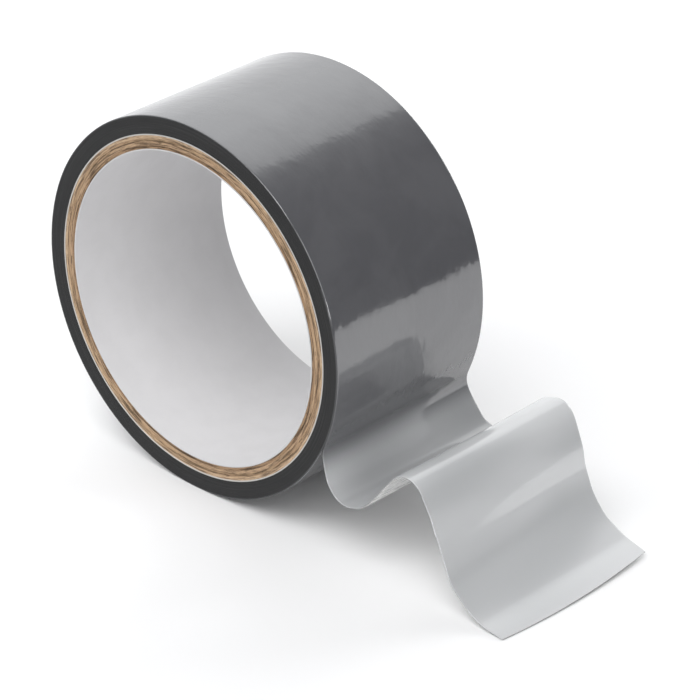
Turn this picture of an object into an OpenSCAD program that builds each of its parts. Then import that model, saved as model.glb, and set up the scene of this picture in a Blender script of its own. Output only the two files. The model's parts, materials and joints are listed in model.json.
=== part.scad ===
// Roll of film tape on a paper core, standing on its tread with a short loose tail.
// The roll's axis is Y, its centre is the origin, and the tail runs out towards +X.

/* [Tape] */
// Width of the tape and the core
tape_w = 48; // [24:1:75]
// Radius of the roll over its last turn
roll_r = 46.4; // [45:0.1:60]
// Width of the flat that the roll's weight has pressed into the last turn under it
flat_w = 6; // [5.6:0.1:6.4]
// Thickness of the plastic backing film
film_t = 0.15; // [0.1:0.01:0.2]
// Thickness of the adhesive coat under the film
adhesive_t = 0.1; // [0.06:0.01:0.12]

/* [Paper core] */
// Radius of the hole through the core
bore_r = 38.1; // [30:0.1:38.5]
// Thickness of the white paper that lines the hole
liner_t = 0.3; // [0.2:0.05:0.5]
// Thickness of one kraft ply
ply_t = 0.8; // [0.5:0.05:0.9]
// Thickness of the white paper wrapped round the core
wrap_t = 0.3; // [0.2:0.05:0.5]

/* [Loose tail] */
// Angle below level where the tail leaves the roll
lift_angle = 24.5; // [20:0.5:30]
// Angle of the last turn that peels up with the tail
flap_angle = 30; // [15:1:45]
// Radius of the film's bend where it leaves the adhesive
peel_bend_r = 5; // [4:0.5:6]
// Turn of that bend
peel_turn = 50; // [45:1:55]
// Straight film between the lift-off bend and the valley
lead_len = 4.5; // [3:0.5:6]
// Radius of the valley
valley_r = 6.5; // [5.5:0.5:7.5]
// Turn of the valley
valley_turn = 117; // [112:1:120]
// Straight film from the valley up to the crest
rise_len = 12.5; // [10:0.5:14]
// Radius of the crest
crest_r = 6; // [5:0.5:7]
// Turn of the crest
crest_turn = 117; // [112:1:120]
// Radius of the bend where the tail comes down to the table
foot_r = 9.5; // [8:0.5:11]
// Turn of that bend
foot_turn = 52; // [48:1:55]
// Straight film from the last bend to the cut end
toe_len = 7; // [5:0.5:10]

/* [Clearances] */
// Room between the peeling flap and the turn under it
peel_gap = 0.1; // [0.05:0.01:0.15]
// Room between two stretches of film at their flex line
flex_gap = 0.1; // [0.05:0.01:0.15]
// Angle past the lift-off line at which the last turn comes up level with the flap
turn_start = 5; // [4:0.5:8]

/* [Hidden] */
$fn = 180;

// Colours
white_paper = "#e4e3df";
kraft = "#ac8b6c";
kraft_dark = "#8f6f50";
wound_edge = "#3b3c3e";
film_grey = "#8b8d90";
tail_grey = "#b4b6b6";
adhesive_grey = "#c9c9c4";

// Radii of the layers, from the hole outwards
ply_count = 4;
ply_r0 = bore_r + liner_t;
wrap_r0 = ply_r0 + ply_count * ply_t;
core_r = wrap_r0 + wrap_t;
film_r0 = roll_r - film_t;
film_mid_r = roll_r - film_t / 2;
coat_r0 = film_r0 - adhesive_t;
wound_r = coat_r0 - peel_gap;
stand_r = sqrt(roll_r * roll_r - flat_w * flat_w / 4);

// The last turn is stuck down from the flap's hinge line round to just short of the lift-off line
flap_top = flap_angle - lift_angle;
stuck_turn = 360 - flap_angle - turn_start;
// A flex line has a bead on one stretch of film, and the next stretch starts clear of it
bead_r = 0.45 * film_t;
hinge_pull = film_t / 2 + flex_gap;
bend_step = 5;
chord_len = 1.5;

// The free film's stretches in order, each [length, turn]: an arc where the turn isn't 0
function arc(r, turn) = [r * abs(turn) * PI / 180, turn];
function stretches(fall) = [
    arc(film_mid_r, -flap_angle),
    arc(peel_bend_r, peel_turn),
    [lead_len, 0],
    arc(valley_r, valley_turn / 2),
    arc(valley_r, valley_turn / 2),
    [rise_len, 0],
    arc(crest_r, -crest_turn / 2),
    arc(crest_r, -crest_turn / 2),
    [fall, 0],
    arc(foot_r, foot_turn / 2),
    arc(foot_r, foot_turn / 2),
    [toe_len, 0]
];

// A state is [x, z, heading]: a point on the film's middle and the way the film runs there
function along(s, len, turn) =
    turn == 0
        ? [s[0] + len * cos(s[2]), s[1] + len * sin(s[2]), s[2]]
        : let (r = len * 180 / (turn * PI), h = s[2] + turn)
            [s[0] + r * (sin(h) - sin(s[2])), s[1] - r * (cos(h) - cos(s[2])), h];

flap_hinge = [film_mid_r * cos(flap_top), film_mid_r * sin(flap_top), flap_top - 90];
function state(list, i) = i == 0 ? flap_hinge : along(state(list, i - 1), list[i - 1][0], list[i - 1][1]);

// The fall is as long as it takes for the cut end to touch the surface that the roll stands on
fall_index = 8;
short_film = stretches(0);
short_end = state(short_film, len(short_film));
fall_heading = state(short_film, fall_index)[2];
end_lift = (film_t / 2 + adhesive_t) * cos(short_end[2]);
fall_len = (short_end[1] + stand_r - end_lift) / -sin(fall_heading);
film = stretches(fall_len);

// Points along stretches first to last, from just past the flex line at the start
function steps(i) = film[i][1] == 0 ? 1 : ceil(max(abs(film[i][1]) / bend_step, film[i][0] / chord_len));
function stretch_states(i, f0, k0) = let (s = state(film, i), n = steps(i))
    [for (k = [k0:n]) let (f = f0 + (1 - f0) * k / n) along(s, film[i][0] * f, film[i][1] * f)];
function run_states(first, last) = [
    for (i = [first:last])
        each stretch_states(i, i == first ? hinge_pull / film[i][0] : 0, i == first ? 0 : 1)
];

// A point at a distance to the film's outer side from a state
function beside(s, d) = [s[0] - d * sin(s[2]), s[1] + d * cos(s[2])];
function band(states, outer, inner) = concat(
    [for (s = states) beside(s, outer)],
    [for (k = [len(states) - 1:-1:0]) beside(states[k], inner)]
);

// Stands a shape drawn in the wheel's plane upright, tape_w wide about the middle
module across() {
    rotate([90, 0, 0]) linear_extrude(tape_w, center = true) children();
}

module tube(r0, r1) {
    across() difference() {
        circle(r1);
        circle(r0);
    }
}

// A circle that shares the last turn's flat under the roll, one film thickness further in per layer
module flattened(r) {
    intersection() {
        circle(r);
        translate([-r, roll_r - r - stand_r]) square(2 * r);
    }
}

// A layer of the last turn, outside what is drawn under it, over the part that is stuck down
module stuck_layer(r) {
    across() difference() {
        flattened(r);
        children();
        rotate(flap_top + stuck_turn - 360) polygon([
            [0, 0],
            [2 * r, 0],
            [2 * r * cos(360 - stuck_turn), 2 * r * sin(360 - stuck_turn)]
        ]);
    }
}

// Film from stretch first to last, with a round bead on the flex line at its far end
module film_strip(first, last, beaded) {
    end = state(film, last + 1);
    union() {
        across() polygon(band(run_states(first, last), film_t / 2, -film_t / 2));
        if (beaded) across() translate([end[0], end[1]]) circle(bead_r);
    }
}

// Adhesive under the same points of the film, one step short of a flex line at each end
module adhesive_strip(first, last, stops_short) {
    run = run_states(first, last);
    coated = [for (k = [1:len(run) - (stops_short ? 2 : 1)]) run[k]];
    across() polygon(band(coated, -film_t / 2, -film_t / 2 - adhesive_t));
}

module core_liner() {
    color(white_paper) tube(bore_r, ply_r0);
}

module core_ply(i) {
    color(i % 2 == 0 ? kraft : kraft_dark) tube(ply_r0 + i * ply_t, ply_r0 + (i + 1) * ply_t);
}

module core_wrap() {
    color(white_paper) tube(wrap_r0, core_r);
}

module wound_tape() {
    color(wound_edge) tube(core_r, wound_r);
}

module outer_turn_adhesive() {
    color(adhesive_grey) stuck_layer(film_r0) circle(wound_r);
}

module outer_turn_film() {
    color(film_grey) union() {
        stuck_layer(roll_r) flattened(film_r0);
        across() translate([flap_hinge[0], flap_hinge[1]]) circle(bead_r);
    }
}

module flap_film() {
    color(film_grey) film_strip(0, 0, true);
}

module flap_adhesive() {
    color(adhesive_grey) adhesive_strip(0, 0, true);
}

module tail_root_film() {
    color(tail_grey) film_strip(1, 3, true);
}

module tail_root_adhesive() {
    color(adhesive_grey) adhesive_strip(1, 3, true);
}

module tail_rise_film() {
    color(tail_grey) film_strip(4, 6, true);
}

module tail_rise_adhesive() {
    color(adhesive_grey) adhesive_strip(4, 6, true);
}

module tail_fall_film() {
    color(tail_grey) film_strip(7, 9, true);
}

module tail_fall_adhesive() {
    color(adhesive_grey) adhesive_strip(7, 9, true);
}

module tail_foot_film() {
    color(tail_grey) film_strip(10, 11, false);
}

module tail_foot_adhesive() {
    color(adhesive_grey) adhesive_strip(10, 11, false);
}

core_liner();
core_ply(0);  // core_ply_1
core_ply(1);  // core_ply_2
core_ply(2);  // core_ply_3
core_ply(3);  // core_ply_4
core_wrap();
wound_tape();
outer_turn_adhesive();
outer_turn_film();
flap_film();
flap_adhesive();
tail_root_film();
tail_root_adhesive();
tail_rise_film();
tail_rise_adhesive();
tail_fall_film();
tail_fall_adhesive();
tail_foot_film();
tail_foot_adhesive();
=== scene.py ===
"""Roll of grey film tape on a layered paper core, with its loose tail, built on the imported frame.

All lengths are in metres. The roll's axis is Y, its centre is the origin and the tail runs to +X.
"""

import json
import math

import bpy
import numpy as np
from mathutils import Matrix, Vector


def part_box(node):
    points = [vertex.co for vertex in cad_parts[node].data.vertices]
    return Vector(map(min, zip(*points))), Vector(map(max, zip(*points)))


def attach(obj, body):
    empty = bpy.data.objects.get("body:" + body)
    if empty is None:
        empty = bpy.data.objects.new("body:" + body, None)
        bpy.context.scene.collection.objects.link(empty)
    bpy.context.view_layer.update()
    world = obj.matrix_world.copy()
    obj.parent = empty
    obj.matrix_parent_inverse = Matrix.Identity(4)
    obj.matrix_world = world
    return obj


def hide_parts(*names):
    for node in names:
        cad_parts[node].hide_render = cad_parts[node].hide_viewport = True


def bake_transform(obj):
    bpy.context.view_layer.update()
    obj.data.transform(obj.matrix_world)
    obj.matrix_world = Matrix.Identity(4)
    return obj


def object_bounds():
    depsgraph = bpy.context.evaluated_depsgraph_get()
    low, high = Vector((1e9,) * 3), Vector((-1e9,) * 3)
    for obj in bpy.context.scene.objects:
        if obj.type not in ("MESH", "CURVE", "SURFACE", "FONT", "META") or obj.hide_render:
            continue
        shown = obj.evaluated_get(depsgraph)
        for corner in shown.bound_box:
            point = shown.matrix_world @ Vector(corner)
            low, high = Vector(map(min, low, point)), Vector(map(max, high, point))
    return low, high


MM = 0.001
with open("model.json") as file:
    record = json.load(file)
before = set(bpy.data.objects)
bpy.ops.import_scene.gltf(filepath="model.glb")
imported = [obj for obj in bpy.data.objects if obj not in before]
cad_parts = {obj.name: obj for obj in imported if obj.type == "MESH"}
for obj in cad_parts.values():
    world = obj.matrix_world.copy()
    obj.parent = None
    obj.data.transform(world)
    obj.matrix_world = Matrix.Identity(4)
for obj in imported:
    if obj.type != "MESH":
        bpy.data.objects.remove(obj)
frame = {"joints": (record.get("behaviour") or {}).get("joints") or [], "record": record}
cad_lo, cad_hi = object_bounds()

# ---------------------------------------------------------------- sizes from the frame
HALF_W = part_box("wound_tape")[1].y
ROLL_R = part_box("outer_turn_film")[1].z
FLOOR_Z = cad_lo.z
BORE_R = next(m for m in frame["record"]["mounts"] if m["name"] == "core_bore")["dims"]["r_mm"] * MM
LINER_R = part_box("core_liner")[1].z
PLY_R = [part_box(f"core_ply_{i}")[1].z for i in (1, 2, 3, 4)]
WRAP_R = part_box("core_wrap")[1].z
WOUND_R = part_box("wound_tape")[1].z
HINGE = {j["name"]: Vector(j["pos_m"]) for j in frame["joints"]}

FILM_T = 0.15 * MM
COAT_T = 0.1 * MM
TAPE_T = FILM_T + COAT_T
MID_R = ROLL_R - FILM_T / 2
LIFT = math.degrees(math.atan2(HINGE["lift_off_flex"].z, HINGE["lift_off_flex"].x))
FLAP_TOP = math.degrees(math.atan2(HINGE["peel"].z, HINGE["peel"].x))

scene = bpy.context.scene

# ---------------------------------------------------------------- camera
AIM = Vector((0.589 * ROLL_R, 0, -0.206 * ROLL_R))
CAM_DISTANCE = 0.794
CAM_LENS_MM = 179.4
CAM_AZIMUTH = math.radians(43.36)
CAM_ELEVATION = math.radians(28.53)


def face(obj, target):
    obj.rotation_euler = (Vector(target) - obj.location).to_track_quat("-Z", "Y").to_euler()


def add_camera():
    data = bpy.data.cameras.new("camera")
    data.sensor_width = 36
    data.lens = CAM_LENS_MM
    data.clip_start = 0.01
    camera = bpy.data.objects.new("camera", data)
    scene.collection.objects.link(camera)
    level = math.cos(CAM_ELEVATION)
    camera.location = AIM + CAM_DISTANCE * Vector((
        math.sin(CAM_AZIMUTH) * level,
        -math.cos(CAM_AZIMUTH) * level,
        math.sin(CAM_ELEVATION),
    ))
    face(camera, AIM)
    scene.camera = camera


add_camera()
scene.view_settings.view_transform = "Standard"


# ---------------------------------------------------------------- materials
class Shader:
    """A material's nodes, with short names for the few kinds that are used here."""

    def __init__(self, name):
        self.material = bpy.data.materials.new(name)
        self.material.use_nodes = True
        self.tree = self.material.node_tree
        self.bsdf = self.tree.nodes["Principled BSDF"]

    def node(self, kind, **settings):
        made = self.tree.nodes.new(kind)
        for key, value in settings.items():
            setattr(made, key, value)
        return made

    def link(self, source, target):
        if isinstance(source, bpy.types.NodeSocket):
            self.tree.links.new(source, target)
        else:
            target.default_value = source

    def math(self, operation, a, b=0.0):
        made = self.node("ShaderNodeMath", operation=operation)
        for value, socket in zip((a, b), made.inputs):
            self.link(value, socket)
        return made.outputs[0]

    def combine(self, x, y, z):
        made = self.node("ShaderNodeCombineXYZ")
        for value, socket in zip((x, y, z), made.inputs):
            self.link(value, socket)
        return made.outputs[0]

    def noise(self, vector, scale=1.0, detail=3.0, rough=0.5, distortion=0.0):
        made = self.node("ShaderNodeTexNoise")
        self.link(vector, made.inputs["Vector"])
        made.inputs["Scale"].default_value = scale
        made.inputs["Detail"].default_value = detail
        made.inputs["Roughness"].default_value = rough
        made.inputs["Distortion"].default_value = distortion
        return made.outputs["Fac"]

    def ramp(self, factor, stops):
        """stops are (position, (r, g, b))."""
        made = self.node("ShaderNodeValToRGB")
        elements = made.color_ramp.elements
        while len(elements) < len(stops):
            elements.new(0.5)
        for element, (position, colour) in zip(elements, stops):
            element.position = position
            element.color = (*colour, 1)
        self.link(factor, made.inputs["Fac"])
        return made.outputs["Color"]

    def mix(self, factor, a, b, blend="MIX"):
        made = self.node("ShaderNodeMix", data_type="RGBA", blend_type=blend)
        self.link(factor, made.inputs[0])
        self.link((*a, 1) if isinstance(a, tuple) else a, made.inputs[6])
        self.link((*b, 1) if isinstance(b, tuple) else b, made.inputs[7])
        return made.outputs[2]

    def map_range(self, value, lo, hi, to_lo=0.0, to_hi=1.0, smooth=True):
        made = self.node("ShaderNodeMapRange", interpolation_type="SMOOTHSTEP" if smooth else "LINEAR")
        for wanted, socket in zip((value, lo, hi, to_lo, to_hi), made.inputs):
            self.link(wanted, socket)
        return made.outputs[0]

    def bump(self, height, strength, distance, normal=None):
        made = self.node("ShaderNodeBump")
        self.link(strength, made.inputs["Strength"])
        made.inputs["Distance"].default_value = distance
        self.link(height, made.inputs["Height"])
        if normal is not None:
            self.link(normal, made.inputs["Normal"])
        return made.outputs["Normal"]

    def attribute(self, name):
        return self.node("ShaderNodeAttribute", attribute_name=name).outputs["Fac"]

    def position(self):
        return self.node("ShaderNodeTexCoord").outputs["Object"]

    def polar(self):
        """(radius, angle, y) about the roll's axis."""
        split = self.node("ShaderNodeSeparateXYZ")
        self.link(self.position(), split.inputs[0])
        x, y, z = split.outputs
        radius = self.math("SQRT", self.math("ADD", self.math("MULTIPLY", x, x), self.math("MULTIPLY", z, z)))
        return radius, self.math("ARCTAN2", z, x), y

    def set(self, **values):
        names = {
            "colour": "Base Color",
            "rough": "Roughness",
            "ior": "IOR",
            "normal": "Normal",
            "specular": "Specular IOR Level",
        }
        for key, value in values.items():
            self.link((*value, 1) if isinstance(value, tuple) else value, self.bsdf.inputs[names[key]])
        return self


def kraft_material(name, light, dark, offset):
    """Cut edge of core board: fibres in long streaks along the turn, a few dark, and a rough face."""
    s = Shader(name)
    radius, angle, y = s.polar()
    across = s.math("MULTIPLY", radius, 3000.0)
    streaks = s.noise(
        s.combine(s.math("ADD", across, offset), s.math("MULTIPLY", angle, 8.0), y),
        1.0, 6, 0.68, 0.5,
    )
    patches = s.noise(
        s.combine(s.math("MULTIPLY", radius, 1500.0), s.math("MULTIPLY", angle, 3.5), offset),
        1.0, 4, 0.62,
    )
    grain = s.noise(s.position(), 5200.0, 3, 0.7)
    bright = tuple(c * 1.3 for c in light)
    deep = tuple(c * 0.45 for c in dark)
    fleck = tuple(min(1, c * 1.4) for c in light)
    colour = s.ramp(streaks, [(0.38, dark), (0.46, light), (0.56, bright), (0.66, dark)])
    colour = s.mix(s.map_range(patches, 0.48, 0.62, 0.0, 0.9), colour, deep)
    colour = s.mix(s.map_range(grain, 0.35, 0.7, 0.0, 0.22), colour, fleck)
    height = s.math("ADD", streaks, s.math("MULTIPLY", grain, 0.45))
    s.set(colour=colour, rough=s.map_range(grain, 0.3, 0.7, 0.78, 0.93), ior=1.4,
          normal=s.bump(height, 0.7, 0.2 * MM))
    return s.material


def paper_material(name, tint, offset):
    """Smooth uncoated paper: faint cloudy formation, short fibres and a fine tooth."""
    s = Shader(name)
    cloud = s.noise(s.position(), 160.0, 4, 0.55)
    radius, angle, y = s.polar()
    along_turn = s.math("MULTIPLY", angle, 90.0)
    fibre = s.noise(
        s.combine(s.math("MULTIPLY", y, 900.0), along_turn, s.math("ADD", radius, offset)),
        1.0, 4, 0.6, 0.8,
    )
    tooth = s.noise(s.position(), 4200.0, 2, 0.6)
    colour = s.mix(s.map_range(cloud, 0.35, 0.68, 0.0, 0.5), tint, tuple(c * 0.955 for c in tint))
    colour = s.mix(s.map_range(fibre, 0.55, 0.75, 0.0, 0.35), colour, tuple(c * 0.93 for c in tint))
    height = s.math("ADD", s.math("MULTIPLY", fibre, 0.6), tooth)
    s.set(colour=colour, rough=s.map_range(cloud, 0.3, 0.7, 0.62, 0.76), ior=1.45,
          normal=s.bump(height, 0.16, 0.06 * MM))
    return s.material


def wound_edge_material(name):
    """Slit edges of the wound turns: charcoal, each turn a little lighter or darker, satin."""
    s = Shader(name)
    radius, angle, _ = s.polar()
    turns = s.noise(
        s.combine(s.math("MULTIPLY", radius, 4300.0), s.math("MULTIPLY", angle, 0.9), 3.0),
        1.0, 2, 0.5,
    )
    drift = s.noise(
        s.combine(s.math("MULTIPLY", radius, 420.0), s.math("MULTIPLY", angle, 1.7), 9.0),
        1.0, 3, 0.5,
    )
    dust = s.noise(s.position(), 2600.0, 4, 0.7)
    colour = s.ramp(turns, [
        (0.25, (0.019, 0.019, 0.0195)),
        (0.55, (0.027, 0.027, 0.0275)),
        (0.8, (0.042, 0.042, 0.042)),
    ])
    colour = s.mix(s.map_range(drift, 0.4, 0.7, 0.0, 0.5), colour, (0.028, 0.028, 0.029))
    colour = s.mix(s.map_range(dust, 0.6, 0.8, 0.0, 0.3), colour, (0.06, 0.06, 0.06))
    s.set(colour=colour, rough=s.map_range(drift, 0.3, 0.7, 0.5, 0.62), ior=1.42, specular=0.3,
          normal=s.bump(s.math("ADD", turns, s.math("MULTIPLY", dust, 0.2)), 0.35, 0.03 * MM))
    return s.material


ROLL_GREY = (0.101, 0.101, 0.108)
ROLL_GREY_DEEP = (0.086, 0.086, 0.093)
TAIL_GREY = (0.580, 0.588, 0.595)
# The second tail grey is painted shade: it is the darker side of the painted light and shade bands on the
# loose film
TAIL_GREY_PAINTED_SHADE = (0.450, 0.458, 0.465)


def film_material(name):
    """Glossy grey film: dark where it is stuck to the turns under it, pale and softer where it is free."""
    s = Shader(name)
    along, across, free = s.attribute("along"), s.attribute("across"), s.attribute("free")
    place = s.combine(along, across, 0.0)
    cloud = s.noise(place, 55.0, 4, 0.55, 0.6)
    slow_across = s.math("MULTIPLY", across, 0.35)
    # broad slanted bands of painted light and shade on the loose film, standing in for the shading of its
    # soft ripples
    bands = s.noise(s.combine(along, slow_across, 0.31), 62.0, 1, 0.4, 0.3)
    mottle = s.noise(s.combine(s.math("MULTIPLY", along, 0.55), across, 0.02), 420.0, 3, 0.5)
    grain = s.noise(place, 5200.0, 2, 0.5)
    streak = s.noise(s.combine(s.math("MULTIPLY", along, 0.06), across, 0.05), 900.0, 3, 0.6)
    stuck = s.mix(s.map_range(cloud, 0.36, 0.66), ROLL_GREY, ROLL_GREY_DEEP)
    loose = s.mix(s.map_range(bands, 0.32, 0.68), TAIL_GREY, TAIL_GREY_PAINTED_SHADE)
    colour = s.mix(free, stuck, loose)
    colour = s.mix(s.map_range(streak, 0.4, 0.8, 0.0, 0.14), colour, (0.5, 0.51, 0.53), "SOFT_LIGHT")
    normal = s.bump(cloud, 0.16, 0.16 * MM)
    normal = s.bump(mottle, s.map_range(free, 0.0, 0.6, 0.9, 0.01), 0.085 * MM, normal)
    normal = s.bump(grain, 0.06, 0.01 * MM, normal)
    rough = s.math("ADD", s.map_range(mottle, 0.3, 0.7, 0.08, 0.13), s.math("MULTIPLY", free, 0.03))
    gloss = s.map_range(free, 0.0, 1.0, 0.8, 0.5, smooth=False)
    s.set(colour=colour, rough=rough, normal=normal, ior=1.9, specular=gloss)
    return s.material


def film_edge_material(name):
    """Slit edge of one layer of film: charcoal on the wound roll, pale on the free tail."""
    s = Shader(name)
    along, free = s.attribute("along"), s.attribute("free")
    nick = s.noise(s.combine(along, 0.0, 0.0), 2600.0, 3, 0.6)
    dark = s.mix(nick, (0.05, 0.051, 0.054), (0.085, 0.087, 0.09))
    pale = s.mix(nick, (0.30, 0.305, 0.31), (0.40, 0.405, 0.41))
    s.set(colour=s.mix(free, dark, pale), rough=s.map_range(nick, 0.3, 0.7, 0.45, 0.6), ior=1.35,
          normal=s.bump(nick, 0.3, 0.02 * MM))
    return s.material


def coat_material(name):
    """Adhesive: a thin tacky coat, dark where it is stuck and pale on the loose tail."""
    s = Shader(name)
    along, across, free = s.attribute("along"), s.attribute("across"), s.attribute("free")
    place = s.combine(along, across, 0.0)
    cloud = s.noise(place, 130.0, 4, 0.6, 0.5)
    peel = s.noise(s.combine(along, s.math("MULTIPLY", across, 0.15), 0.0), 1500.0, 3, 0.6)
    loose = s.mix(s.map_range(cloud, 0.35, 0.68), (0.74, 0.74, 0.735), (0.66, 0.66, 0.655))
    stuck = s.mix(s.map_range(cloud, 0.35, 0.68), (0.045, 0.046, 0.049), (0.06, 0.061, 0.064))
    normal = s.bump(s.math("ADD", cloud, s.math("MULTIPLY", peel, 0.3)), 0.15, 0.03 * MM)
    s.set(colour=s.mix(free, stuck, loose), rough=s.map_range(peel, 0.3, 0.7, 0.22, 0.36), ior=1.45,
          normal=normal)
    return s.material


# ---------------------------------------------------------------- meshes
SMOOTH_UP_TO = math.radians(38)


def add_piece(name, points, faces, materials, face_material=None, attributes=None):
    mesh = bpy.data.meshes.new(name)
    mesh.from_pydata([tuple(p) for p in points], [], faces)
    for material in materials:
        mesh.materials.append(material)
    if face_material is not None:
        mesh.polygons.foreach_set("material_index", np.asarray(face_material, np.int32))
    mesh.polygons.foreach_set("use_smooth", np.ones(len(mesh.polygons), bool))
    mesh.update()
    mesh.set_sharp_from_angle(angle=SMOOTH_UP_TO)
    for key, values in (attributes or {}).items():
        layer = mesh.attributes.new(key, "FLOAT", "POINT")
        layer.data.foreach_set("value", np.asarray(values, np.float32))
    piece = bpy.data.objects.new(name, mesh)
    scene.collection.objects.link(piece)
    return piece


def ring(name, loop, segments, material, move=None):
    """Turns a closed loop of (radius, y) round the roll's axis; move(radius, y, angle) may shift it."""
    loop = np.array(loop, float)
    angle = np.linspace(0, 2 * math.pi, segments, endpoint=False)[:, None]
    radius = np.broadcast_to(loop[:, 0], (segments, len(loop)))
    y = np.broadcast_to(loop[:, 1], (segments, len(loop)))
    if move is not None:
        radius, y = move(radius, y, angle)
    points = np.stack([radius * np.cos(angle), y, radius * np.sin(angle)], -1).reshape(-1, 3)
    count = len(loop)
    faces = [
        (i * count + k, i * count + (k + 1) % count, j * count + (k + 1) % count, j * count + k)
        for i in range(segments)
        for j in [(i + 1) % segments]
        for k in range(count)
    ]
    return add_piece(name, points, faces, [material])


def rounded_section(r0, r1, half, corner, across, along=8):
    """Closed loop of a tube wall's section, with rounded corners.

    `across` and `along` are how many stretches each end face and each of the inner and outer sides have.
    """
    quarter = np.radians([0, 22.5, 45, 67.5, 90])
    inner, outer, straight = r0 + corner, r1 - corner, half - corner
    loop = []
    for radius, side, start in ((outer, 1, 0), (inner, 1, 90), (inner, -1, 180), (outer, -1, 270)):
        for turn in quarter + math.radians(start):
            loop.append((radius + corner * math.cos(turn), side * straight + corner * math.sin(turn)))
        if start in (0, 180):
            a, b = (outer, inner) if start == 0 else (inner, outer)
            loop += [(a + (b - a) * k / across, side * half) for k in range(1, across)]
        else:
            wall_r = r0 if start == 90 else r1
            loop += [(wall_r, side * straight * (1 - 2 * k / along)) for k in range(1, along)]
    return loop


def waves(rng, count, lowest, highest):
    """Fixed random set of (turns per revolution, phase, size) whose sizes add up to 1."""
    turns = rng.integers(lowest, highest + 1, count)
    phase = rng.uniform(0, 2 * math.pi, count)
    size = rng.uniform(0.4, 1.0, count)
    return turns, phase, size / size.sum()


def wave_at(parts, angle):
    turns, phase, size = parts
    return sum(k * np.sin(n * angle + p) for n, p, k in zip(turns, phase, size))


# How far from the core's end faces the kraft's fraying reaches
FRAY_REACH = 0.12 * MM
PAPER_SEGMENTS = 300
BOARD_SEGMENTS = 480
BOARD_SEED = 40


def board_move(seed, r0, r1, face_depth, edge_depth):
    """Frays a ply's end faces and lets its edges wander, so that the seams between plies open and close."""
    rng = np.random.default_rng(seed)
    bands = [waves(rng, 7, 9, 70) for _ in range(4)]
    inner, outer = waves(rng, 6, 3, 26), waves(rng, 6, 3, 26)

    def move(radius, y, angle):
        share = (radius - r0) / (r1 - r0)
        fray = sum(
            wave_at(band, angle) * np.maximum(0, 1 - np.abs(share * 3 - k))
            for k, band in enumerate(bands)
        )
        on_face = np.abs(y) > HALF_W - FRAY_REACH
        sink = face_depth * (0.5 + 0.5 * fray)
        seam_in = edge_depth * (0.55 + 0.45 * wave_at(inner, angle)) * np.maximum(0, 1 - share * 5)
        seam_out = edge_depth * (0.55 + 0.45 * wave_at(outer, angle)) * np.maximum(0, 1 - (1 - share) * 5)
        y = np.where(on_face, y - np.sign(y) * sink, y)
        radius = np.where(on_face, radius + seam_in - seam_out, radius)
        return radius, y

    return move


def add_core():
    liner_paper = paper_material("liner_paper", (0.60, 0.593, 0.60), 0.0)
    wrap_paper = paper_material("wrap_paper", (0.56, 0.545, 0.52), 5.0)
    liner = ring(
        "core_liner_paper",
        rounded_section(BORE_R, LINER_R, HALF_W, 0.06 * MM, 3, 24),
        PAPER_SEGMENTS, liner_paper,
    )
    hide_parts("core_liner")
    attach(liner, "roll")
    # (light, dark) of each ply, from the inside out
    tones = [
        ((0.31, 0.202, 0.118), (0.075, 0.043, 0.024)),
        ((0.43, 0.295, 0.185), (0.130, 0.079, 0.045)),
        ((0.37, 0.250, 0.150), (0.105, 0.062, 0.034)),
        ((0.49, 0.350, 0.228), (0.185, 0.119, 0.071)),
    ]
    below = LINER_R
    for i, (radius, (light, dark)) in enumerate(zip(PLY_R, tones), 1):
        board = ring(
            f"core_board_{i}",
            rounded_section(below, radius, HALF_W - 0.03 * MM, 0.11 * MM, 9),
            BOARD_SEGMENTS, kraft_material(f"kraft_board_{i}", light, dark, 17.0 * i),
            board_move(BOARD_SEED + i, below, radius, 0.14 * MM, 0.09 * MM),
        )
        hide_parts(f"core_ply_{i}")
        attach(board, "roll")
        below = radius
    wrap_loop = rounded_section(below, WRAP_R, HALF_W, 0.05 * MM, 3)
    wrap = ring("core_wrap_paper", wrap_loop, PAPER_SEGMENTS, wrap_paper)
    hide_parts("core_wrap")
    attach(wrap, "roll")


# The last turn steps down by one layer over this span, so that it passes under the flap
STEP_FROM = 282.0
STEP_TO = 360.0 + LIFT
TURN_START = 20.0
TURN_END = 360.0 + TURN_START + 6.0
WOUND_SEGMENTS = 360
TURN_ROWS = 460


def eased_step(value, low, high):
    share = np.clip((value - low) / (high - low), 0, 1)
    return share * share * (3 - 2 * share)


def step_down(angle_deg):
    return TAPE_T * eased_step(angle_deg, STEP_FROM, STEP_TO)


def add_wound_turns():
    """The wound turns, with a groove between each two on the end faces, and each edge a little in or out."""
    count = round((WOUND_R - WRAP_R) / TAPE_T)
    pitch = (WOUND_R - WRAP_R) / count
    rng = np.random.default_rng(7)
    groove = 0.035 * MM
    offsets = rng.uniform(0.0, 0.035, (2, count)) * MM
    loop = []
    for side, row in ((1, offsets[0]), (-1, offsets[1])):
        face_points = []
        for k in range(count):
            edge = side * (HALF_W - row[k])
            low = edge - side * groove
            start = WRAP_R + k * pitch
            face_points += [
                (start + 0.06 * pitch, low),
                (start + 0.26 * pitch, edge),
                (start + 0.74 * pitch, edge),
                (start + 0.94 * pitch, low),
            ]
        loop += face_points[::-1] if side == 1 else face_points
        edge_r = WRAP_R if side == 1 else WOUND_R
        loop += [(edge_r, side * HALF_W * (1 - 0.004 - k / 4)) for k in range(0, 8, 2)]

    def move(radius, y, angle):
        degrees = np.degrees(angle) + np.where(np.degrees(angle) < TURN_START, 360, 0)
        under = WOUND_R - step_down(degrees)
        return WRAP_R + (radius - WRAP_R) * (under - WRAP_R) / (WOUND_R - WRAP_R), y + 0 * angle

    turns = ring("wound_turns", loop, WOUND_SEGMENTS, wound_edge_material("wound_edge"), move)
    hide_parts("wound_tape")
    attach(turns, "roll")


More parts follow.
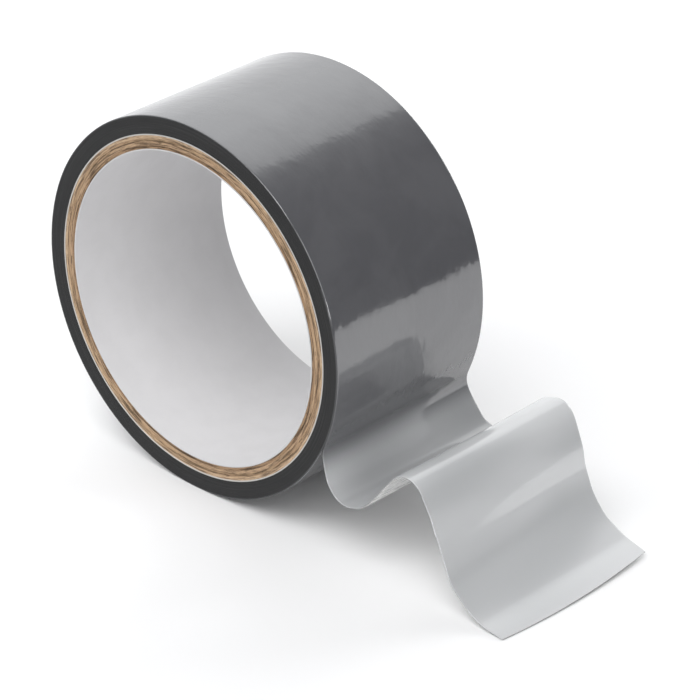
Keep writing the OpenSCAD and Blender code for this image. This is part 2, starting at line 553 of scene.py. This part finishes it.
def strip(name, middle, normal, outer, inner, along, free, materials, squeeze=None):
    """A thin closed strip between middle + normal * outer and middle + normal * inner.

    middle and normal are rows x columns x 3. The first material is for the outer and inner faces, the
    second for the edges. The film's own strip, whose outer is above its middle, has rounded outer edges.
    """
    rows, columns = middle.shape[:2]
    top, bottom = middle + normal * outer, middle + normal * inner
    if outer > 0:
        nearness = np.maximum(0, (np.abs(middle[..., 1:2]) - HALF_W) / EDGE_ROUND + 1)
        top = top - normal * (EDGE_DROP * nearness ** 2)
    if squeeze is not None:
        top, bottom = squeeze(top, outer), squeeze(bottom, inner)
    points = np.concatenate([top.reshape(-1, 3), bottom.reshape(-1, 3)])
    grid = np.arange(rows * columns).reshape(rows, columns)
    under = grid + rows * columns

    def quads(a, b, c, d):
        return np.stack([a.ravel(), b.ravel(), c.ravel(), d.ravel()], -1)

    faces = [
        quads(grid[:-1, :-1], grid[1:, :-1], grid[1:, 1:], grid[:-1, 1:]),
        quads(under[:-1, :-1], under[:-1, 1:], under[1:, 1:], under[1:, :-1]),
        quads(grid[:-1, 0], under[:-1, 0], under[1:, 0], grid[1:, 0]),
        quads(grid[:-1, -1], grid[1:, -1], under[1:, -1], under[:-1, -1]),
        quads(grid[0, :-1], grid[0, 1:], under[0, 1:], under[0, :-1]),
        quads(grid[-1, :-1], under[-1, :-1], under[-1, 1:], grid[-1, 1:]),
    ]
    wide_faces = 2
    kinds = np.concatenate([np.full(len(f), int(i >= wide_faces)) for i, f in enumerate(faces)])
    shared = {
        "along": np.tile(np.broadcast_to(along, (rows, columns)).ravel(), 2),
        "across": np.tile(middle[..., 1].ravel(), 2),
        "free": np.tile(np.broadcast_to(free, (rows, columns)).ravel(), 2),
    }
    return add_piece(name, points, np.concatenate(faces).tolist(), materials, kinds, shared)


# Columns of the strips across the width, as shares of its half, with close ones for the rounded edges
EDGE_COLUMNS = np.array([0.9875, 0.991, 0.9945, 0.998, 1])
COLUMNS = np.concatenate([-EDGE_COLUMNS[::-1], np.linspace(-0.98, 0.98, 49), EDGE_COLUMNS])
# The slit rolls the film's outer face over at its edges
EDGE_ROUND = 0.30 * MM
EDGE_DROP = 0.10 * MM
# The stuck coat reaches into the turn under it, so that no gap shows
STUCK_COAT_T = 0.2 * MM
rng_roll = np.random.default_rng(21)
ROLL_WAVES = [(*waves(rng_roll, 4, 5, 17), rng_roll.uniform(-60, 60)) for _ in range(2)]
ROLL_WAVE_SIZE = 0.022 * MM


def roll_ripple(angle_rad, y):
    """Faint ripple of the stuck last turn, always inwards. angle_rad is a column, y a row."""
    total = sum(wave_at(parts[:3], angle_rad + 0.12 * np.sin(parts[3] * y)) for parts in ROLL_WAVES)
    return ROLL_WAVE_SIZE * (total / len(ROLL_WAVES) - 1)


def add_last_turn(film, film_edge, coat, coat_edge):
    degrees = np.linspace(TURN_START, TURN_END, TURN_ROWS)[:, None]
    degrees = np.concatenate([degrees[:1], degrees[:1] + 0.06, degrees[1:]])
    angle = np.radians(degrees)
    y = HALF_W * COLUMNS[None, :]
    radius = MID_R - step_down(degrees) + roll_ripple(angle, y)
    out = np.stack([np.cos(angle) + 0 * y, 0 * angle + 0 * y, np.sin(angle) + 0 * y], -1)
    middle = out * radius[..., None]
    middle[..., 1] = y
    along = -MID_R * np.radians(degrees - LIFT)

    def squeeze(points, offset):
        """Keeps each layer of the flat under the roll above the floor by its own depth."""
        points = points.copy()
        points[..., 2] = np.maximum(points[..., 2], FLOOR_Z + FILM_T / 2 - offset)
        return points

    film_piece = strip(
        "last_turn_film", middle, out, FILM_T / 2, -FILM_T / 2, along, 0.0, [film, film_edge], squeeze
    )
    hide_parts("outer_turn_film")
    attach(film_piece, "roll")
    coat_bottom = -FILM_T / 2 - STUCK_COAT_T
    coat_piece = strip(
        "last_turn_coat", middle, out, -FILM_T / 2, coat_bottom, along, 0.0, [coat, coat_edge], squeeze
    )
    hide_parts("outer_turn_adhesive")
    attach(coat_piece, "roll")


# The free film's stretches at the near edge and at the far edge: (radius or length in mm, turn in degrees).
# The fall's length is worked out, so that the cut end comes down to the table.
TAIL_NEAR = [
    (5.5, 36), (3.5, 0), (7.0, 131), (11.3, 0), (7.5, -40), (5.0, -78), (24.0, 0), (15.0, 56), (4.7, 0),
]
TAIL_FAR = [
    (4.5, 64), (5.5, 0), (6.4, 103), (11.4, 0), (9.0, -45), (4.7, -79), (19.0, 0), (15.0, 53), (7.6, 0),
]
TOE_BOW = 1.8 * MM
PEEL, LEAD, VALLEY, RISE, CREST_UP, CREST, FALL, FOOT, TOE = range(1, 10)
# Height of the cut end over the floor at the near and the far edge
END_LIFT_NEAR = 0.16 * MM
END_LIFT_FAR = 1.1 * MM
# Step of the traced profile
SAMPLE = 0.05 * MM
# How far the bends are eased into the straights
SOFTNESS = 0.9 * MM
# Sine of the fall's steepness, about, for working out its length
FALL_STEEPNESS = 0.9
FALL_GUESS = 22 * MM


def stretches(share, fall):
    """[(length, turn in radians)], the stuck arc first; share is 0 at the near edge and 1 at the far edge."""
    stuck_turn = math.radians(TURN_START - LIFT)
    listed = [(MID_R * stuck_turn, -stuck_turn)]
    for k, ((near, near_turn), (far, far_turn)) in enumerate(zip(TAIL_NEAR, TAIL_FAR), 1):
        size = (near + (far - near) * share) * MM
        turn = math.radians(near_turn + (far_turn - near_turn) * share)
        if k == FALL:
            listed.append((fall, 0.0))
        elif k == TOE:
            listed.append((size + TOE_BOW * 4 * share * (1 - share), 0.0))
        else:
            listed.append((size * abs(turn) if turn else size, turn))
    return listed


def traced(listed):
    """(distance, x, z, heading) along the film's middle, with the bends eased into each other."""
    ends = np.concatenate([[0], np.cumsum([length for length, _ in listed])])
    start = math.radians(TURN_START)
    first_heading = start - math.pi / 2
    headings = np.concatenate([[first_heading], first_heading + np.cumsum([turn for _, turn in listed])])
    pad = 4 * SOFTNESS
    count = int(round((ends[-1] + 2 * pad) / SAMPLE))
    distance = -pad + SAMPLE * np.arange(count + 1)
    heading = np.interp(distance, ends, headings)
    before = distance < 0
    heading[before] = headings[0] - distance[before] / MID_R
    reach = np.arange(-pad, pad + SAMPLE / 2, SAMPLE)
    kernel = np.exp(-0.5 * (reach / SOFTNESS) ** 2)
    kernel /= kernel.sum()
    eased = np.convolve(np.pad(heading, len(kernel) // 2, "edge"), kernel, "valid")
    inside = (distance > -SAMPLE / 2) & (distance < ends[-1] + SAMPLE / 2)
    distance, eased = distance[inside], eased[inside]
    half = (eased[1:] + eased[:-1]) / 2
    x = MID_R * math.cos(start) + np.concatenate([[0], np.cumsum(SAMPLE * np.cos(half))])
    z = MID_R * math.sin(start) + np.concatenate([[0], np.cumsum(SAMPLE * np.sin(half))])
    return ends, distance, x, z, eased


def settled(share):
    """The trace whose cut end lies as high over the floor as it should at this place across the width."""
    target = FLOOR_Z + END_LIFT_NEAR + (END_LIFT_FAR - END_LIFT_NEAR) * share ** 2 + FILM_T / 2
    fall = FALL_GUESS
    for _ in range(8):
        trace = traced(stretches(share, fall))
        fall += (trace[3][-1] - target) / FALL_STEEPNESS
    return trace


def tail_rows():
    """Rows of the film as (stretch, fraction), and the row where each piece ends; stretch 0 is stuck."""
    steps = {
        0: 40, PEEL: 16, LEAD: 10, VALLEY: 36, RISE: 16, CREST_UP: 18, CREST: 24, FALL: 26, FOOT: 22, TOE: 12,
    }
    flap_middle = (TURN_START - (FLAP_TOP + LIFT) / 2) / (TURN_START - LIFT)
    cuts = {0: flap_middle, LEAD: 0.5, RISE: 0.5, FALL: 0.5}
    rows, ends = [(0, 0.0), (0, 0.0012)], []
    for index, count in steps.items():
        fractions = list(np.linspace(0, 1, count + 1)[1:])
        if index in cuts:
            # a close row on each side of a cut keeps the shading of the two pieces alike
            cut, hair = cuts[index], 0.012 if index else 0.0012
            fractions = [f for f in fractions if abs(f - cut) > 1.5 * hair]
            fractions = sorted(fractions + [cut - hair, cut, cut + hair])
        for f in fractions:
            rows.append((index, float(f)))
            if index in cuts and f == cuts[index]:
                ends.append(len(rows) - 1)
    rows.insert(len(rows) - 1, (TOE, 0.995))
    return rows, ends + [len(rows) - 1]


TAIL_RIPPLES = [
    # (size in mm, wavelength along in mm, slant across in radians per mm, phase)
    (0.16, 17.0, 0.020, 0.6),
    (0.09, 10.5, -0.035, 2.1),
    (0.05, 6.5, 0.050, 4.0),
]


def tail_ripple(distance, y):
    """Soft ripple of the free film, growing from nothing at the lift-off line."""
    total = sum(
        size * MM * np.sin(2 * math.pi * distance / (wave * MM) + slant * y / MM + phase)
        for size, wave, slant, phase in TAIL_RIPPLES
    )
    return eased_step(distance, 2 * MM, 12 * MM) * total


# Degrees on each side of the peel line, where the start and end points worked out for the hinge piece lie
HINGE_SPREAD = 8


def add_tail(film, film_edge, coat, coat_edge):
    rows, ends = tail_rows()
    y = HALF_W * COLUMNS
    columns = []
    for value in COLUMNS:
        stops, distance, *traces = settled((value + 1) / 2)
        at = np.array([stops[i] + f * (stops[i + 1] - stops[i]) for i, f in rows])
        columns.append([at] + [np.interp(at, distance, trace) for trace in traces])
    at, x, z, heading = np.stack(columns, -1)
    middle = np.stack([x, np.broadcast_to(y, x.shape), z], -1)
    forward = np.stack([np.cos(heading), 0 * heading, np.sin(heading)], -1)
    sideways = np.gradient(middle, y, axis=1)
    normal = np.cross(forward, sideways)
    normal /= np.linalg.norm(normal, axis=-1, keepdims=True)
    along = at - MID_R * math.radians(TURN_START - LIFT)
    turn = np.radians(TURN_START) - at / MID_R
    stuck = 1 - np.clip((along + 3 * MM) / (3 * MM), 0, 1)
    ripple = stuck * roll_ripple(turn, y[None, :]) + tail_ripple(along, y[None, :])
    middle = middle + normal * ripple[..., None]
    free = 0.78 * eased_step(along, -0.5 * MM, 8 * MM) + 0.22 * eased_step(along, 14 * MM, 28 * MM)

    centre = len(COLUMNS) // 2
    bend_starts = {i: rows.index((i, 1.0)) for i in (0, LEAD, RISE, FALL)}
    bend_ends = {i: rows.index((i, 1.0)) for i in (PEEL, VALLEY, CREST, FOOT)}
    # (name, body before the bend, body after it and node replaced, slot, first and last row of the bend)
    plans = [
        ("hinge", "roll", "flap", "roll_film", None),
        ("peel", "flap", "tail_root", "tail_film", (bend_starts[0], bend_ends[PEEL])),
        ("valley", "tail_root", "tail_rise", "tail_film", (bend_starts[LEAD], bend_ends[VALLEY])),
        ("crest", "tail_rise", "tail_fall", "tail_film", (bend_starts[RISE], bend_ends[CREST])),
        ("foot", "tail_fall", "tail_foot", "tail_film", (bend_starts[FALL], bend_ends[FOOT])),
    ]
    first = 0
    for (name, body_a, body_b, slot, bend), last in zip(plans, ends):
        part = slice(first, last + 1)
        if bend is None:
            spread = np.radians([FLAP_TOP + HINGE_SPREAD, FLAP_TOP - HINGE_SPREAD])
            start, end = (MID_R * np.array([math.cos(a), 0, math.sin(a)]) for a in spread)
        else:
            start, end = middle[bend[0], centre], middle[bend[1], centre]
        # the bend's start and end are kept between the piece's ends
        way = (end - start) / np.linalg.norm(end - start)
        low = max(float(start @ way), float((middle[first] @ way).max()))
        high = float(end @ way)
        if name != "foot":
            high = min(high, float((middle[last] @ way).min()))
        start, end = start + way * (low - start @ way), end + way * (high - end @ way)
        for kind, outer, inner, materials, suffix in (
            ("film", FILM_T / 2, -FILM_T / 2, [film, film_edge], "film"),
            ("coat", -FILM_T / 2, -FILM_T / 2 - COAT_T, [coat, coat_edge], "adhesive"),
        ):
            piece = strip(
                f"{name}_{kind}", middle[part], normal[part], outer, inner, along[part], free[part], materials
            )
            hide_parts(f"{body_b}_{suffix}")
            tuple(start)
            tuple(end)
            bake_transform(piece)
            slot if kind == "film" else "adhesive"
        first = last


def add_floor():
    """A pale round table top, large enough to fill the camera's view."""
    count, radius, rim = 128, 0.40, 1.002
    centre = Vector((0.03, 0.02, FLOOR_Z - 0.02 * MM))
    turn = np.linspace(0, 2 * math.pi, count, endpoint=False)
    points, faces = [], []
    for depth, reach in ((0, radius), (-1.5 * MM, radius * rim), (-20 * MM, radius * rim)):
        points += [(centre.x + reach * math.cos(a), centre.y + reach * math.sin(a), centre.z + depth)
                   for a in turn]
    faces.append(list(range(count)))
    for level in (0, 1):
        for k in range(count):
            n = (k + 1) % count
            top, low = level * count, (level + 1) * count
            faces.append((top + k, low + k, low + n, top + n))
    s = Shader("table_top")
    cloud = s.noise(s.position(), 9.0, 3, 0.5)
    grain = s.noise(s.position(), 900.0, 3, 0.6)
    pale = s.mix(s.map_range(cloud, 0.3, 0.7), (0.86, 0.86, 0.865), (0.89, 0.89, 0.89))
    s.set(colour=pale, rough=0.7, ior=1.3, normal=s.bump(grain, 0.05, 0.02 * MM))
    floor = add_piece("table_top", points, faces, [s.material])


def faded(light_data, fade):
    """Changes an area light's brightness along its width; fade is a list of (place, share)."""
    light_data.use_nodes = True
    tree = light_data.node_tree
    spot = tree.nodes.new("ShaderNodeNewGeometry")
    split = tree.nodes.new("ShaderNodeSeparateXYZ")
    curve = tree.nodes.new("ShaderNodeValToRGB")
    elements = curve.color_ramp.elements
    while len(elements) < len(fade):
        elements.new(0.5)
    for element, (place, share) in zip(elements, fade):
        element.position = place
        element.color = (share, share, share, 1)
    tree.links.new(spot.outputs["Parametric"], split.inputs[0])
    tree.links.new(split.outputs[0], curve.inputs[0])
    tree.links.new(curve.outputs[0], tree.nodes["Emission"].inputs["Strength"])


WHITE = (1, 1, 1)
COOL_WHITE = (0.985, 0.995, 1.0)


def softbox(name, centre, size, radiance, target=None, rotation=None, colour=WHITE, fade=None):
    """A rectangular light, turned to a target or by a rotation.

    radiance is what a mirror would show of it, and fade its brightness along its width.
    """
    data = bpy.data.lights.new(name, "AREA")
    data.shape = "RECTANGLE"
    data.size, data.size_y = size
    data.energy = radiance * math.pi * size[0] * size[1]
    data.color = colour
    light = bpy.data.objects.new(name, data)
    scene.collection.objects.link(light)
    light.location = centre
    if fade is not None:
        faded(data, fade)
    if rotation is None:
        face(light, target)
    else:
        light.rotation_euler = rotation


def add_lights():
    # over the roll and to its left, with its right edge parallel to the roll's axis; it fades to the right
    top_z, top_right, top_left, low_z = 0.95, 0.50, -1.55, -0.7
    fade = [
        (0.0, 0.97), (0.463, 1.0), (0.585, 0.90), (0.688, 0.77), (0.745, 0.62), (0.771, 0.25), (0.815, 0.13),
        (0.893, 0.06), (1.0, 0.0),
    ]
    y0, y1 = -0.25, 2.4
    middle_y, depth = (y0 + y1) / 2, y1 - y0
    softbox("overhead", ((top_left + top_right) / 2, middle_y, top_z), (top_right - top_left, depth), 1.37,
            rotation=(0, 0, 0), colour=COOL_WHITE, fade=fade)
    # upright at the far left, from under the table's level up to the first
    softbox("left_wall", (top_left, middle_y, (top_z + low_z) / 2), (top_z - low_z, depth), 1.28,
            rotation=(0, math.radians(-90), 0), colour=COOL_WHITE)
    # round the camera: only faces turned to the camera mirror these
    softbox("front_left", (-1.3, -1.3, 1.1), (1.6, 1.4), 1.8, (0, 0, 0))
    softbox("front_top", (0.3, -1.1, 1.9), (2.2, 1.4), 3.4, (0, 0, 0))
    softbox("front_right", (1.6, -0.75, 1.0), (1.2, 1.2), 1.5, (0.05, 0, 0))
    softbox("low_right", (1.4, -0.7, 0.16), (1.0, 0.3), 4.5, (0, 0, 0))
    softbox("behind", (0.3, 2.1, 0.75), (1.3, 0.8), 5.5, (0.05, 0.1, 0))


def add_world():
    """Pale behind the object for the camera, and a dim room for everything that the object mirrors."""
    world = bpy.data.worlds.new("room")
    world.use_nodes = True
    tree = world.node_tree
    ground = tree.nodes["Background"]
    output = tree.nodes["World Output"]
    ground.inputs["Color"].default_value = (0.10, 0.102, 0.108, 1)
    pale = tree.nodes.new("ShaderNodeBackground")
    pale.inputs["Color"].default_value = (0.93, 0.93, 0.93, 1)
    path = tree.nodes.new("ShaderNodeLightPath")
    mix = tree.nodes.new("ShaderNodeMixShader")
    tree.links.new(path.outputs["Is Camera Ray"], mix.inputs[0])
    tree.links.new(ground.outputs[0], mix.inputs[1])
    tree.links.new(pale.outputs[0], mix.inputs[2])
    tree.links.new(mix.outputs[0], output.inputs["Surface"])
    scene.world = world


film = film_material("tape_film")
film_edge = film_edge_material("tape_film_edge")
coat = coat_material("adhesive_coat")
add_core()
add_wound_turns()
add_last_turn(film, film_edge, coat, film_edge)
add_tail(film, film_edge, coat, film_edge)
add_floor()
add_lights()
add_world()
